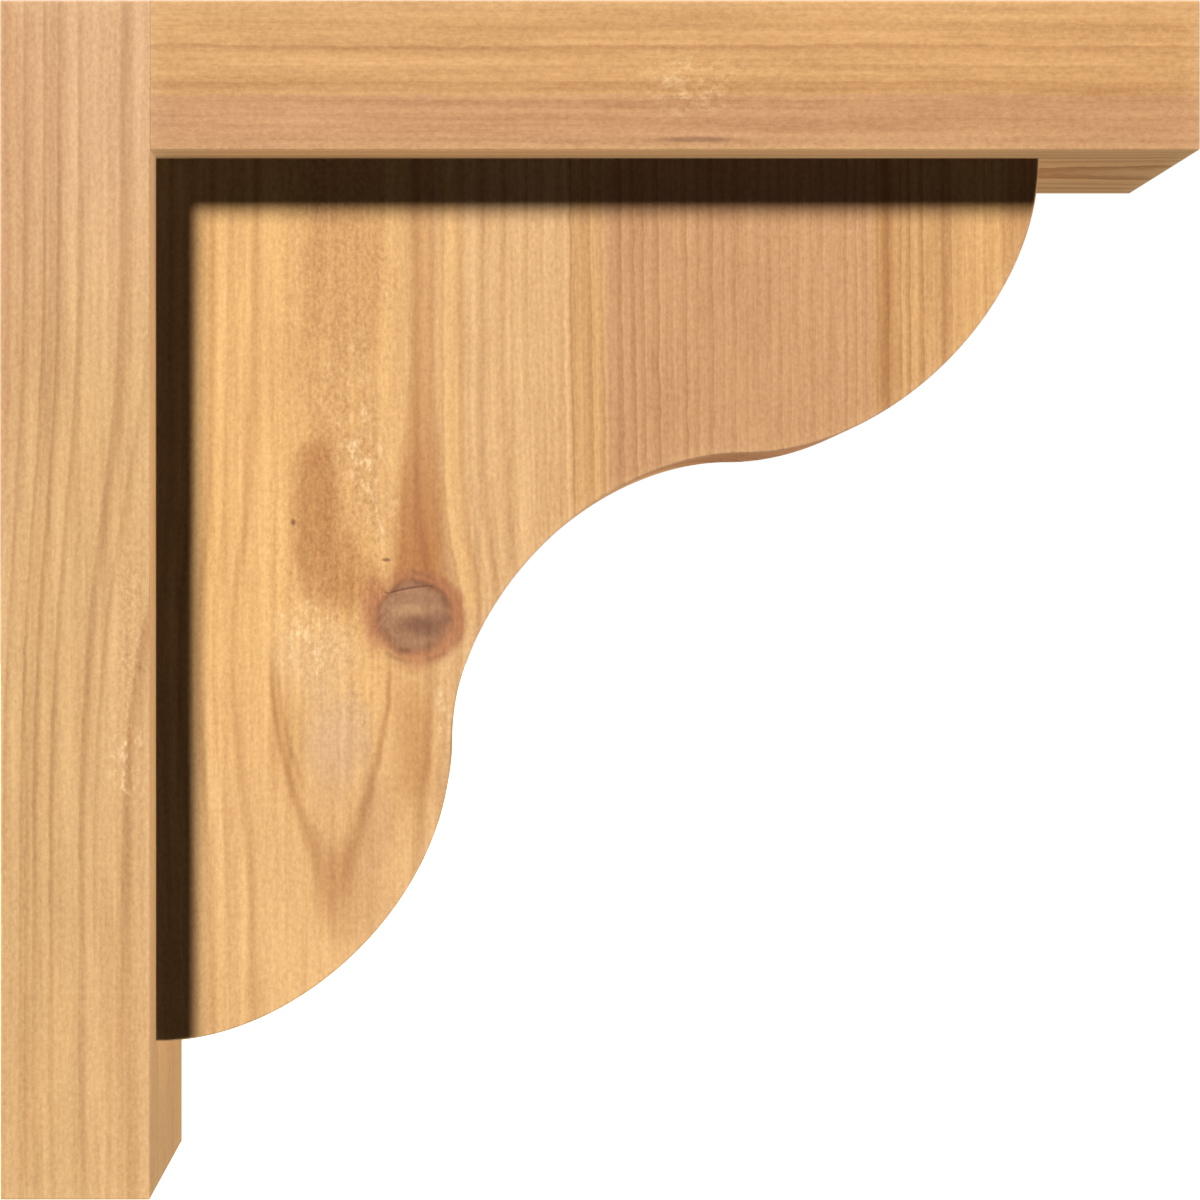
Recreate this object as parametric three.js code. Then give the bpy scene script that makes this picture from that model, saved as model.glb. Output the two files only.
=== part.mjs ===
// A wooden corbel bracket: a wall leg and a top leg butted square, and a thick brace set between them,
// band-sawn along its free edge to a double ogee, which swells, hollows and swells again.
// Millimetres, +Z up. X runs out from the wall, Y across the width, and the origin is the centre of the
// wall leg's back face, which lies on the wall.

import * as THREE from 'three';

// Driving dimensions
const INCH = 25.4;
const REACH = 12 * INCH; // from the wall to the top leg's free end
const HEIGHT = 12 * INCH; // from the top face to the wall leg's foot
const LEG_WIDTH = 3.5 * INCH;
const LEG_THICKNESS = 1.5 * INCH;
const BRACE_THICKNESS = 2.25 * INCH; // centred on the legs, which stand proud of it on both sides
const BRACE_SIDE = 9 * INCH; // the square blank that the brace is cut from
const OGEE_CURVES = 3; // swell, hollow, swell, each with the same reach
const OGEE_FULLNESS = 0.5; // a curve's handles as a share of its reach: a quarter circle has 0.552
const OGEE_STEPS = 24; // facets in each curve
const ARRIS = 0.5; // planed off every edge
const GLUE_LINE = 0.2; // between the faces of two boards that are joined

// Materials
const legCedar = new THREE.MeshStandardMaterial({ color: 0xd9ac78, roughness: 0.62, metalness: 0 });
const braceCedar = new THREE.MeshStandardMaterial({ color: 0xdfae72, roughness: 0.62, metalness: 0 });

// A board with every arris eased: an outline in the X-Z plane, sawn to a thickness centred on Y = 0.
function board(name, outline, thickness, material) {
  const geometry = new THREE.ExtrudeGeometry(outline, {
    depth: thickness - 2 * ARRIS,
    curveSegments: OGEE_STEPS,
    bevelThickness: ARRIS,
    bevelSize: ARRIS,
    bevelOffset: -ARRIS,
    bevelSegments: 1,
  });
  geometry.translate(0, 0, ARRIS - thickness / 2);
  geometry.rotateX(Math.PI / 2);
  const mesh = new THREE.Mesh(geometry, material);
  mesh.name = name;
  return mesh;
}

// A rectangle from one corner, with its own four corners eased as well.
function squaredOutline(left, bottom, length, height) {
  const right = left + length;
  const top = bottom + height;
  const outline = new THREE.Shape();
  outline.moveTo(left + ARRIS, bottom);
  outline.lineTo(right - ARRIS, bottom);
  outline.lineTo(right, bottom + ARRIS);
  outline.lineTo(right, top - ARRIS);
  outline.lineTo(right - ARRIS, top);
  outline.lineTo(left + ARRIS, top);
  outline.lineTo(left, top - ARRIS);
  outline.lineTo(left, bottom + ARRIS);
  outline.closePath();
  return outline;
}

// The brace's outline. The ogee climbs in equal steps from the wall to the top leg, and each curve meets
// the next square to the legs, so a swell and a hollow join without a corner.
function ogeeOutline(left, bottom, side) {
  const step = side / OGEE_CURVES;
  const handle = step * OGEE_FULLNESS;
  const outline = new THREE.Shape();
  outline.moveTo(left, bottom);
  for (let i = 0; i < OGEE_CURVES; i++) {
    const x = left + i * step;
    const z = bottom + i * step;
    const swells = i % 2 === 0;
    if (swells) outline.bezierCurveTo(x + handle, z, x + step, z + step - handle, x + step, z + step);
    else outline.bezierCurveTo(x, z + handle, x + step - handle, z + step, x + step, z + step);
  }
  outline.lineTo(left, bottom + side);
  outline.closePath();
  return outline;
}

// Where the boards meet, measured from the wall face's centre
const topFace = HEIGHT / 2;
const undersideOfTopLeg = topFace - LEG_THICKNESS;
const frontOfWallLeg = LEG_THICKNESS;

const wallLeg = board(
  'wall_leg',
  squaredOutline(0, -HEIGHT / 2, LEG_THICKNESS, HEIGHT),
  LEG_WIDTH,
  legCedar,
);

const topLeg = board(
  'top_leg',
  squaredOutline(
    frontOfWallLeg + GLUE_LINE,
    undersideOfTopLeg,
    REACH - frontOfWallLeg - GLUE_LINE,
    LEG_THICKNESS,
  ),
  LEG_WIDTH,
  legCedar,
);

const brace = board(
  'ogee_brace',
  ogeeOutline(
    frontOfWallLeg + GLUE_LINE,
    undersideOfTopLeg - BRACE_SIDE,
    BRACE_SIDE - GLUE_LINE,
  ),
  BRACE_THICKNESS,
  braceCedar,
);

const corbelBracket = new THREE.Group();
corbelBracket.add(wallLeg, topLeg, brace);

export default corbelBracket;
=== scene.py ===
"""A wooden corbel bracket of planed cedar: a wall leg, a top leg, and a brace sawn to a double ogee.

The file is laid out as an add-on. Each board and the studio has its operator, and the sidebar lists them.
Meshes are in metres. Grain is worked out in millimetres in a board's own frame: x across its broad figure,
y through it from the near face, and z along the grain.
"""

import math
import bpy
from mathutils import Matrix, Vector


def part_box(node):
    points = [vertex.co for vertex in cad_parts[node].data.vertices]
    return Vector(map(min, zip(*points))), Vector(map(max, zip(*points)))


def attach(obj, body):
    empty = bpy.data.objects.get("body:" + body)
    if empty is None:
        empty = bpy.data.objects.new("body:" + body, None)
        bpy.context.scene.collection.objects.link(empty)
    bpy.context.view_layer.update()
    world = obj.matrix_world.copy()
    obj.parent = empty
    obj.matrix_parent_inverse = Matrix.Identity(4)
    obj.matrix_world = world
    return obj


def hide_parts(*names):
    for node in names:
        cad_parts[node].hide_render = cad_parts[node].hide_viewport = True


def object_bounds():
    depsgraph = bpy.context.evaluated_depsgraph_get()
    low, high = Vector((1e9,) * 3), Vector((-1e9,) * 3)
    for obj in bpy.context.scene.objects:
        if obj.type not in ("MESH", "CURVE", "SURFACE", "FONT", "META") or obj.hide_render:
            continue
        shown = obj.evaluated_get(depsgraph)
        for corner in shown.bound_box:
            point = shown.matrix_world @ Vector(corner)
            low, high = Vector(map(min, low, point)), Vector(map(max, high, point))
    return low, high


bl_info = {
    "name": "Cedar Corbel Bracket",
    "version": (1, 0, 0),
    "blender": (4, 5, 0),
    "location": "3D View > Sidebar > Corbel",
    "description": "Builds a wooden corbel bracket with a double ogee brace, and a plain studio round it",
    "category": "Add Mesh",
}

import bpy
import numpy as np
from bpy.props import FloatProperty, FloatVectorProperty, PointerProperty
from bpy.types import Operator, Panel, PropertyGroup
from mathutils import Vector, geometry, noise

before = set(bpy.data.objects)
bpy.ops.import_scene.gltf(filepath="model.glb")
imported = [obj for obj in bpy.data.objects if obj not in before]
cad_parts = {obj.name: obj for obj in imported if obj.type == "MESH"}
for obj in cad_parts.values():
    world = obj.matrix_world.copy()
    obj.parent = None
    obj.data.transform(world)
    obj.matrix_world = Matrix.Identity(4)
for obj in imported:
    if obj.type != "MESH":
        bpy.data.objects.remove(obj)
CAD_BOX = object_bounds()

MM = 0.001

# The packed boards, which give every outer size here
WALL_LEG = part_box("wall_leg")
TOP_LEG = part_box("top_leg")
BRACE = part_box("ogee_brace")
WALL_LEG_FRONT = WALL_LEG[1].x
UNDERSIDE = TOP_LEG[0].z

# Where each board's grain runs: the row frame's axes in the order x, y, z of the board's own frame
UPRIGHT = (0, 1, 2)
LEVEL = (2, 1, 0)


def srgb(red, green, blue):
    """A colour as a screen shows it, 0 to 255, in the linear values that shaders use."""
    shares = [channel / 255 for channel in (red, green, blue)]
    return tuple(s / 12.92 if s <= 0.04045 else ((s + 0.055) / 1.055) ** 2.4 for s in shares)


def length(label, note, millimetres, **limits):
    """A property that holds a length, with its default given in millimetres."""
    return FloatProperty(
        name=label,
        description=note,
        default=millimetres * MM,
        precision=5,
        unit="LENGTH",
        subtype="DISTANCE",
        **limits,
    )


def tint(label, note, red, green, blue):
    """A property that holds a colour, with its default given as a screen shows it."""
    return FloatVectorProperty(
        name=label,
        description=note,
        default=srgb(red, green, blue),
        size=3,
        min=0,
        max=1,
        subtype="COLOR",
    )


class BoardSizes(PropertyGroup):
    """How the boards are finished and joined"""

    arris: length("Arris", "Radius sanded on the free edges", 0.5, min=0)
    joint: length("Joint", "Hairline left between two glued boards", 0.07, min=0)
    cell: length("Cell", "Size of a board's mesh cells, away from its edges", 4, min=MM)
    uneven: length("Uneven", "How far a planed face dips from flat", 0.04, min=0)
    saw_pitch: length("Saw pitch", "Distance between the band saw's marks on the ogee", 2.1, min=0)
    saw_depth: length("Saw depth", "Depth of those marks after sanding", 0.035, min=0)


class KnotSizes(PropertyGroup):
    """The knot in the brace, and the check across it"""

    out: length("Out", "Its centre on the near face, out from the wall", 104.5)
    up: length("Up", "Its centre's height over the bracket's middle", -4.6)
    radius: length("Radius", "Radius of its core on the near face", 8.9, min=0)
    check_length: length("Check length", "The drying check's length across the core", 10.8, min=0)
    check_width: length("Check width", "The check's width at its middle", 1.0, min=0)
    check_depth: length("Check depth", "The check's depth at its middle", 0.14, min=0)
    check_up: length("Check up", "The check's height over the knot's centre", 7.8)


class CedarColours(PropertyGroup):
    """The wood's colours, before light falls on it"""

    honey: tint("Honey", "Bright yellow wood on the wall side of the brace", 233, 182, 117)
    pale: tint("Pale", "Pale wood round the knot", 226, 180, 128)
    tan: tint("Tan", "Freckled wood over the brace's pith", 209, 157, 101)
    umber: tint("Umber", "The brown patch beside the knot", 190, 133, 80)
    rose: tint("Rose", "Pinkish heartwood", 206, 155, 110)
    amber: tint("Amber", "Yellow-brown wood towards the free end", 214, 164, 109)
    leg_pale: tint("Leg pale", "The wall leg's wood", 218, 175, 122)
    leg_rose: tint("Leg rose", "Its pinkish streaks", 216, 169, 118)
    leg_dull: tint("Leg dull", "The top leg's duller wood along its underside", 205, 167, 118)
    blush: tint("Blush", "The wall leg's paler, pinker wood towards its top", 222, 176, 146)
    latewood: tint("Latewood", "What the dark end of a growth ring lays over the wood", 192, 160, 132)
    resin: tint("Resin", "The dark streak that feeds the knot", 188, 128, 76)
    knot_core: tint("Knot core", "The knot's own grey-brown wood", 168, 122, 90)
    knot_dark: tint("Knot dark", "The dark rings and stain in the knot", 122, 80, 58)
    knot_halo: tint("Knot halo", "The reddish ring round the knot", 182, 119, 80)
    # Painted shade: this dark colour stands in for the shadow down in the shallow check.
    check: tint("Check", "The bottom of a drying check", 116, 72, 48)
    # This colour also lays the arrises' pale edge, which is partly wear and partly painted highlight.
    fleck_and_highlight: tint("Fleck", "Pale flecks where the grain dives, and worn arrises", 246, 208, 158)


GRAIN_LENGTHS = {
    "pith_side": "Where the tree's pith lies across the figure",
    "pith_depth": "How far the pith lies behind the near face",
    "first_ring": "Distance from the pith to one ring's end",
    "ring_width": "Width of a growth ring",
    "bulge": "How far the rings bulge to the near face",
    "bulge_up": "Where along the grain they bulge",
    "bulge_length": "How far along the grain the bulge spreads",
}


def grain_group(name, board, *defaults):
    """A property group for the way one board's grain lies. Its defaults are in millimetres."""
    properties = {
        label: length(label.replace("_", " ").capitalize(), note, default)
        for (label, note), default in zip(GRAIN_LENGTHS.items(), defaults)
    }
    return type(name, (PropertyGroup,), {"__doc__": f"The {board}'s grain", "__annotations__": properties})


WallLegGrain = grain_group("WallLegGrain", "wall leg", 46, 60, 58.1, 3.65, 3.8, -110, 132)
TopLegGrain = grain_group("TopLegGrain", "top leg", 60, 45, 72.9, 3.95, 0.6, 177, 69)
BraceGrain = grain_group("BraceGrain", "brace", 84.9, 75, 74.87, 2.45, 1.15, -20.5, 33)


class Wire:
    """A node's output that can stand in a formula. Each operator adds the Math node that works it out."""

    def __init__(self, tree, socket):
        self.tree = tree
        self.socket = socket

    def math(self, operation, *others):
        node = self.tree.nodes.new("ShaderNodeMath")
        node.operation = operation
        for entry, value in zip(node.inputs, (self, *others)):
            feed(self.tree, entry, value)
        return Wire(self.tree, node.outputs[0])

    def __add__(self, other):
        return self.math("ADD", other)

    def __sub__(self, other):
        return self.math("SUBTRACT", other)

    def __mul__(self, other):
        return self.math("MULTIPLY", other)

    def __truediv__(self, other):
        return self.math("DIVIDE", other)

    def __neg__(self):
        return self.math("MULTIPLY", -1.0)

    def squared(self):
        return self.math("MULTIPLY", self)

    def ramp(self, low, high):
        """0 below low, 1 above high, and a smooth step between them."""
        node = self.tree.nodes.new("ShaderNodeMapRange")
        node.interpolation_type = "SMOOTHSTEP"
        feed(self.tree, node.inputs["Value"], self)
        feed(self.tree, node.inputs["From Min"], low)
        feed(self.tree, node.inputs["From Max"], high)
        return Wire(self.tree, node.outputs["Result"])

    def flipped(self):
        """0 where this is 1, and 1 where it is 0."""
        return -self + 1.0

    def fall(self, low, high):
        """1 below low, 0 above high, and a smooth step between them."""
        return self.ramp(low, high).flipped()

    def times(self, scale):
        """This vector made longer by one number, or by one for each axis."""
        node = self.tree.nodes.new("ShaderNodeVectorMath")
        node.operation = "MULTIPLY"
        feed(self.tree, node.inputs[0], self)
        feed(self.tree, node.inputs[1], scale)
        return Wire(self.tree, node.outputs["Vector"])

    def parts(self):
        """This vector's three numbers."""
        node = self.tree.nodes.new("ShaderNodeSeparateXYZ")
        feed(self.tree, node.inputs["Vector"], self)
        return [Wire(self.tree, output) for output in node.outputs]


def feed(tree, entry, value):
    """Links a wire to an input, or sets the input to a plain value. One number fills a whole vector."""
    if isinstance(value, Wire):
        tree.links.new(value.socket, entry)
    elif entry.type == "VECTOR" and not isinstance(value, tuple):
        entry.default_value = (value, value, value)
    else:
        entry.default_value = value


def joined(x, y, z):
    """One vector from three wires."""
    node = x.tree.nodes.new("ShaderNodeCombineXYZ")
    for entry, value in zip(node.inputs, (x, y, z)):
        feed(x.tree, entry, value)
    return Wire(x.tree, node.outputs["Vector"])


SEED_SHIFT = 17.3  # how far apart two seeds sample the noise


def cloud(position, scale, detail=1.0, roughness=0.5, seed=0.0):
    """Noise from 0 to 1. scale gives its lumps per millimetre along each axis, and seed shifts it."""
    tree = position.tree
    shift = tree.nodes.new("ShaderNodeVectorMath")
    shift.operation = "MULTIPLY_ADD"
    feed(tree, shift.inputs[0], position)
    feed(tree, shift.inputs[1], scale)
    feed(tree, shift.inputs[2], seed * SEED_SHIFT)
    node = tree.nodes.new("ShaderNodeTexNoise")
    tree.links.new(shift.outputs["Vector"], node.inputs["Vector"])
    feed(tree, node.inputs["Scale"], 1.0)
    feed(tree, node.inputs["Detail"], detail)
    feed(tree, node.inputs["Roughness"], roughness)
    return Wire(tree, node.outputs["Fac"])


def drawn_lots(number, seed):
    """One random number from 0 to 1 for each whole number and seed."""
    node = number.tree.nodes.new("ShaderNodeTexWhiteNoise")
    node.noise_dimensions = "2D"
    feed(number.tree, node.inputs["Vector"], joined(number, seed, 0.0))
    return Wire(number.tree, node.outputs["Value"])


def blended(factor, first, second, how="MIX"):
    """The first colour where the factor is 0, and the second where it is 1."""
    node = factor.tree.nodes.new("ShaderNodeMix")
    node.data_type = "RGBA"
    node.blend_type = how
    sockets = {entry.identifier: entry for entry in node.inputs}
    feed(factor.tree, sockets["Factor_Float"], factor)
    feed(factor.tree, sockets["A_Color"], first)
    feed(factor.tree, sockets["B_Color"], second)
    result = next(output for output in node.outputs if output.identifier == "Result_Color")
    return Wire(factor.tree, result)


def start_group(name, inputs, outputs):
    """A new node group's tree, its inputs as wires by name, and the node that its outputs go to.

    Position is a vector, and every other input and output is a number.
    """
    tree = bpy.data.node_groups.new(name, "ShaderNodeTree")
    for label in inputs:
        kind = "NodeSocketVector" if label == "Position" else "NodeSocketFloat"
        tree.interface.new_socket(label, in_out="INPUT", socket_type=kind)
    for label in outputs:
        tree.interface.new_socket(label, in_out="OUTPUT", socket_type="NodeSocketFloat")
    entry = tree.nodes.new("NodeGroupInput")
    wires = {label: Wire(tree, entry.outputs[label]) for label in inputs}
    return tree, wires, tree.nodes.new("NodeGroupOutput")


def feed_named(tree, node, values):
    """Feeds a node's inputs by name: an input's name has capitals and spaces."""
    for label, value in values.items():
        feed(tree, node.inputs[label.replace("_", " ").title()], value)


def finish_group(tree, leave, **results):
    """Links a group's results to its outputs."""
    feed_named(tree, leave, results)
    return tree


DRIFT = (0.03, 0.03, 0.009)  # lumps per millimetre: slow across the board, slower along it
WAVER = (0.16, 0.16, 0.18)
KNOT_STRETCH = 1.5  # how much further grain is turned aside along the board than across it
RUN_OUT_DEPTHS = (5.0, 22.0)  # where under the near face rings begin to run out, and where they fully do


def growth_field_group():
    """How far each point of a board lay from the pith when the tree grew.

    Lines on a face are where this distance is the same. They waver, and part round a knot as water parts
    round a post. At one height they bulge to the near face, with a blunt upper end and a long lower one.
    Deeper in the board they may run out of it along its length, which draws arches on a far or top face.
    """
    inputs = (
        "Position", "Pith X", "Pith Y", "Bulge", "Bulge Z", "Bulge Length",
        "Knot X", "Knot Y", "Knot Z", "Knot Reach", "Wander", "Run Out", "Seed",
    )
    outputs = ("Radius", "Side", "Rise", "Taper")
    tree, given, leave = start_group("growth_field", inputs, outputs)
    x, y, z = given["Position"].parts()
    out_x = given["Knot X"] - given["Pith X"]
    out_y = given["Knot Y"] - given["Pith Y"]
    branch = (out_x.squared() + out_y.squared()).math("SQRT")
    along_x = out_x / branch
    along_y = out_y / branch
    drift = cloud(given["Position"], DRIFT, seed=given["Seed"]) - 0.5
    waver = cloud(given["Position"], WAVER, seed=given["Seed"] + 7.0) - 0.5
    from_x = x - given["Pith X"]
    from_y = y - given["Pith Y"]
    taper = ((from_x * along_x + from_y * along_y) / branch).math("MAXIMUM", 0.05)
    side = from_y * along_x - from_x * along_y
    rise = z - given["Knot Z"]
    reach = (given["Knot Reach"] * taper).squared()
    stretched = side.squared() + (rise / KNOT_STRETCH).squared()
    parted = side * (reach / stretched.math("MAXIMUM", 0.01)).math("MINIMUM", 1.0)
    upper = z.math("GREATER_THAN", given["Bulge Z"])
    apart = ((z - given["Bulge Z"]) / given["Bulge Length"]).squared()
    swell = given["Bulge"] * (-apart.math("POWER", upper + 1.0)).math("EXPONENT")
    across = from_x + parted * along_y + drift * (given["Wander"] * 2.2) + waver * given["Wander"]
    depth = from_y - parted * along_x + swell
    radius = (across.squared() + depth.squared()).math("SQRT")
    radius = radius + (drift + waver * 0.5) * (given["Wander"] * 0.35)
    deep = (y - given["Knot Y"]).ramp(*RUN_OUT_DEPTHS)
    radius = radius + (z - given["Bulge Z"]) * given["Run Out"] * deep
    return finish_group(tree, leave, radius=radius, side=side, rise=rise, taper=taper)


def growth_rings_group():
    """Turns distance from the pith into growth rings, each with its own strength."""
    inputs = ("Radius", "First Ring", "Ring Width", "Seed")
    tree, given, leave = start_group("growth_rings", inputs, ("Late", "Slow"))
    count = (given["Radius"] - given["First Ring"]) / given["Ring Width"]
    uneven = cloud(joined(count, 0.0, 0.0), (0.6, 1.0, 1.0), seed=given["Seed"]) - 0.5
    count = count + uneven * count.math("ABSOLUTE").ramp(1.5, 6.0) * 1.3
    share = count.math("FRACT")
    year = drawn_lots(count.math("FLOOR"), given["Seed"])
    late = share.ramp(0.3, 0.93) * share.fall(0.94, 1.0)
    inner = (count * 3.0 + uneven * 2.0).math("FRACT")
    faint = inner.ramp(0.2, 0.9) * inner.fall(0.9, 1.0)
    late = late * (year.squared() * 0.8 + 0.2) + faint * 0.2
    late = late * (count.math("ABSOLUTE").ramp(0.0, 3.0) * 0.7 + 0.3)
    slow = cloud(joined(count, 0.0, 0.0), (0.16, 1.0, 1.0), seed=given["Seed"] + 3.0)
    return finish_group(tree, leave, late=late, slow=slow)


def ring_line_group():
    """One strong growth line: sharp on the bark side, and fading towards the pith."""
    tree, given, leave = start_group("ring_line", ("Radius", "Place", "Width"), ("Mask",))
    radius, place, width = given.values()
    rising = radius.ramp(place - width, place)
    return finish_group(tree, leave, mask=rising * radius.fall(place, place + width * 0.35))


def band_group():
    """A mask that is 1 between two values and softens to 0 outside them."""
    tree, given, leave = start_group("band", ("Value", "Start", "End", "Softness"), ("Mask",))
    value, start, end, softness = given.values()
    rising = value.ramp(start - softness, start + softness)
    return finish_group(tree, leave, mask=rising * value.fall(end - softness, end + softness))


# For each kind of fibre noise, its lumps per millimetre along each axis, its detail and its roughness
FIBRES = {
    "coarse": ((0.5, 0.5, 0.014), 1.0, 0.5),
    "fine": ((1.9, 1.9, 0.16), 1.0, 0.5),
    "freckle": ((1.0, 1.0, 0.7), 2.0, 0.7),
    "dapple": ((0.42, 0.42, 0.27), 3.0, 0.7),
    "cloud": ((0.08, 0.08, 0.03), 2.0, 0.6),
}


def fibres_group():
    """Streaks along the grain, coarse and fine, and freckles. Each runs from -1 to 1."""
    tree, given, leave = start_group("fibres", ("Position", "Seed"), [label.title() for label in FIBRES])
    found = {}
    for number, (name, (scale, detail, roughness)) in enumerate(FIBRES.items()):
        seed = given["Seed"] + number * 4.0
        found[name] = cloud(given["Position"], scale, detail, roughness, seed) * 2.0 - 1.0
    return finish_group(tree, leave, **found)


PATCH_DEPTH = 12.0  # how far a patch of colour reaches into the board


def patch_group():
    """An oval mask on the near face: 1 at its centre, 0 outside. Edge is noise that makes it ragged."""
    inputs = ("Position", "Centre X", "Centre Z", "Half Width", "Half Height", "Near Face", "Edge")
    tree, given, leave = start_group("patch", inputs, ("Mask",))
    x, y, z = given["Position"].parts()
    across = ((x - given["Centre X"]) / given["Half Width"]).squared()
    along = ((z - given["Centre Z"]) / given["Half Height"]).squared()
    deep = ((y - given["Near Face"]) / PATCH_DEPTH).squared()
    reach = (across + along + deep).math("SQRT") + given["Edge"]
    return finish_group(tree, leave, mask=reach.fall(0.3, 1.2))


KNOT_RINGS = 5.0  # growth rings in the branch


def knot_group():
    """The masks of a knot, from the distances that the growth field gives."""
    inputs = ("Side", "Rise", "Taper", "Radius", "Position")
    outputs = ("Core", "Rim", "Halo", "Collar", "Ring", "Stain", "Bloom")
    tree, given, leave = start_group("knot", inputs, outputs)
    radius = given["Radius"] * given["Taper"]
    side = given["Side"] / radius
    rise = given["Rise"] / radius
    lumps = cloud(given["Position"], (0.12, 0.12, 0.12), detail=3.0, seed=2.0) - 0.5
    patchy = cloud(given["Position"], (0.25, 0.25, 0.25), 2.0, seed=5.0)
    reach = (side.squared() + rise.squared()).math("SQRT") + lumps * 0.42 + (patchy - 0.5) * 0.14
    patchy = patchy.ramp(0.4, 0.62)
    rim = reach.ramp(0.82, 0.98) * reach.fall(1.0, 1.2) * (patchy * 0.6 + 0.4)
    bark_side = side.ramp(-0.5, 0.9)
    spread = bark_side * 0.2 + 1.24
    fade = bark_side * -0.2 + 0.36
    collar = reach.ramp(1.16, 1.3) * reach.fall(1.3, 1.44) * patchy
    low = ((side - 0.3) / 0.62).squared() + ((rise + 0.24) / 0.34).squared()
    high = ((side + 0.05) / 0.62).squared() + ((rise - 0.2) / 0.2).squared()
    return finish_group(
        tree,
        leave,
        core=reach.fall(0.82, 1.1),
        rim=rim,
        halo=reach.fall(spread - fade, spread + fade),
        collar=collar * rise.math("ABSOLUTE").ramp(0.8, 1.2),
        ring=(reach * KNOT_RINGS * math.tau).math("SINE") * 0.5 + 0.5,
        stain=(low.math("SQRT") + lumps * 1.6).fall(0.3, 1.6),
        bloom=(high.math("SQRT") + lumps * 2.0).fall(0.2, 1.5),
    )


def end_grain_group():
    """How far a surface cuts across the grain: 0 along a planed face, 1 on a sawn end."""
    tree, given, leave = start_group("end_grain", ("Across",), ("Mask",))
    return finish_group(tree, leave, mask=given["Across"].math("ABSOLUTE").ramp(0.25, 0.95))


GROUP_BUILDERS = {
    "growth_field": growth_field_group,
    "growth_rings": growth_rings_group,
    "ring_line": ring_line_group,
    "band": band_group,
    "fibres": fibres_group,
    "patch": patch_group,
    "knot": knot_group,
    "end_grain": end_grain_group,
}


def attribute(tree, name):
    """A number that the mesh holds at each point."""
    node = tree.nodes.new("ShaderNodeAttribute")
    node.attribute_name = name
    return Wire(tree, node.outputs["Fac"])


KNOT_TURNS_GRAIN = 1.2  # grain parts round the knot and its halo, not the core alone
SHALLOW_DEPTHS = (5.0, 20.0)  # where under the near face its own marks begin to fade, and where they end


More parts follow.
